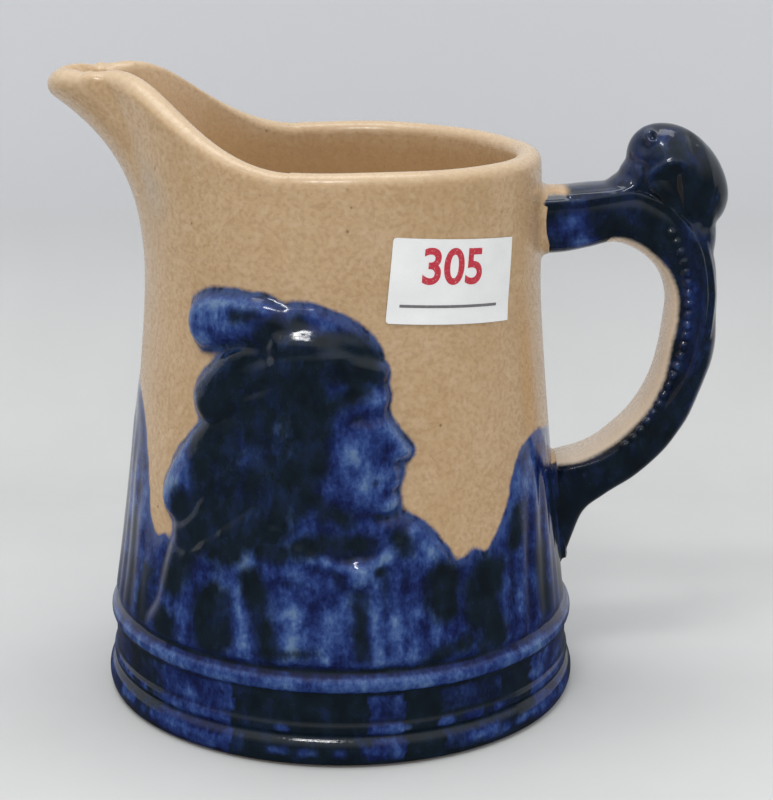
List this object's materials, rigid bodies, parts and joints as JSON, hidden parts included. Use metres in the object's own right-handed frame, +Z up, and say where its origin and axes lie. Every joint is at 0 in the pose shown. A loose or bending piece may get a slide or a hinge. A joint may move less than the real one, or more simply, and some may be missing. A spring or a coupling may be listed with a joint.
{
  "type": "cream jug",
  "caption": "Small tapered stoneware cream jug with a pulled pouring spout, a looped handle with a thumb rest, and a moulded figure in relief above a beaded foot.",
  "frame": {"origin": "the middle of the flat foot, on the body's axis, at the plane the jug rests on", "axes": "+Z up along the body's axis, +X towards the handle, -X towards the spout, +Y to the far side of the jug"},
  "size_m": [0.1065, 0.0768, 0.1],
  "materials": {
    "body_glaze": "glossy buff stoneware glaze, cobalt blue on the relief and foot",
    "handle_glaze": "glossy dark cobalt glaze",
    "upper_slip": "glossy buff glaze over slip",
    "lower_slip": "glossy dark cobalt glaze over slip",
    "label_paper": "matt white paper"
  },
  "bodies": {
    "root": {"body": "body_glaze", "handle": "handle_glaze", "upper_slip_bed": "upper_slip", "lower_slip_bed": "lower_slip", "lot_label": "label_paper"}
  },
  "joints": []
}
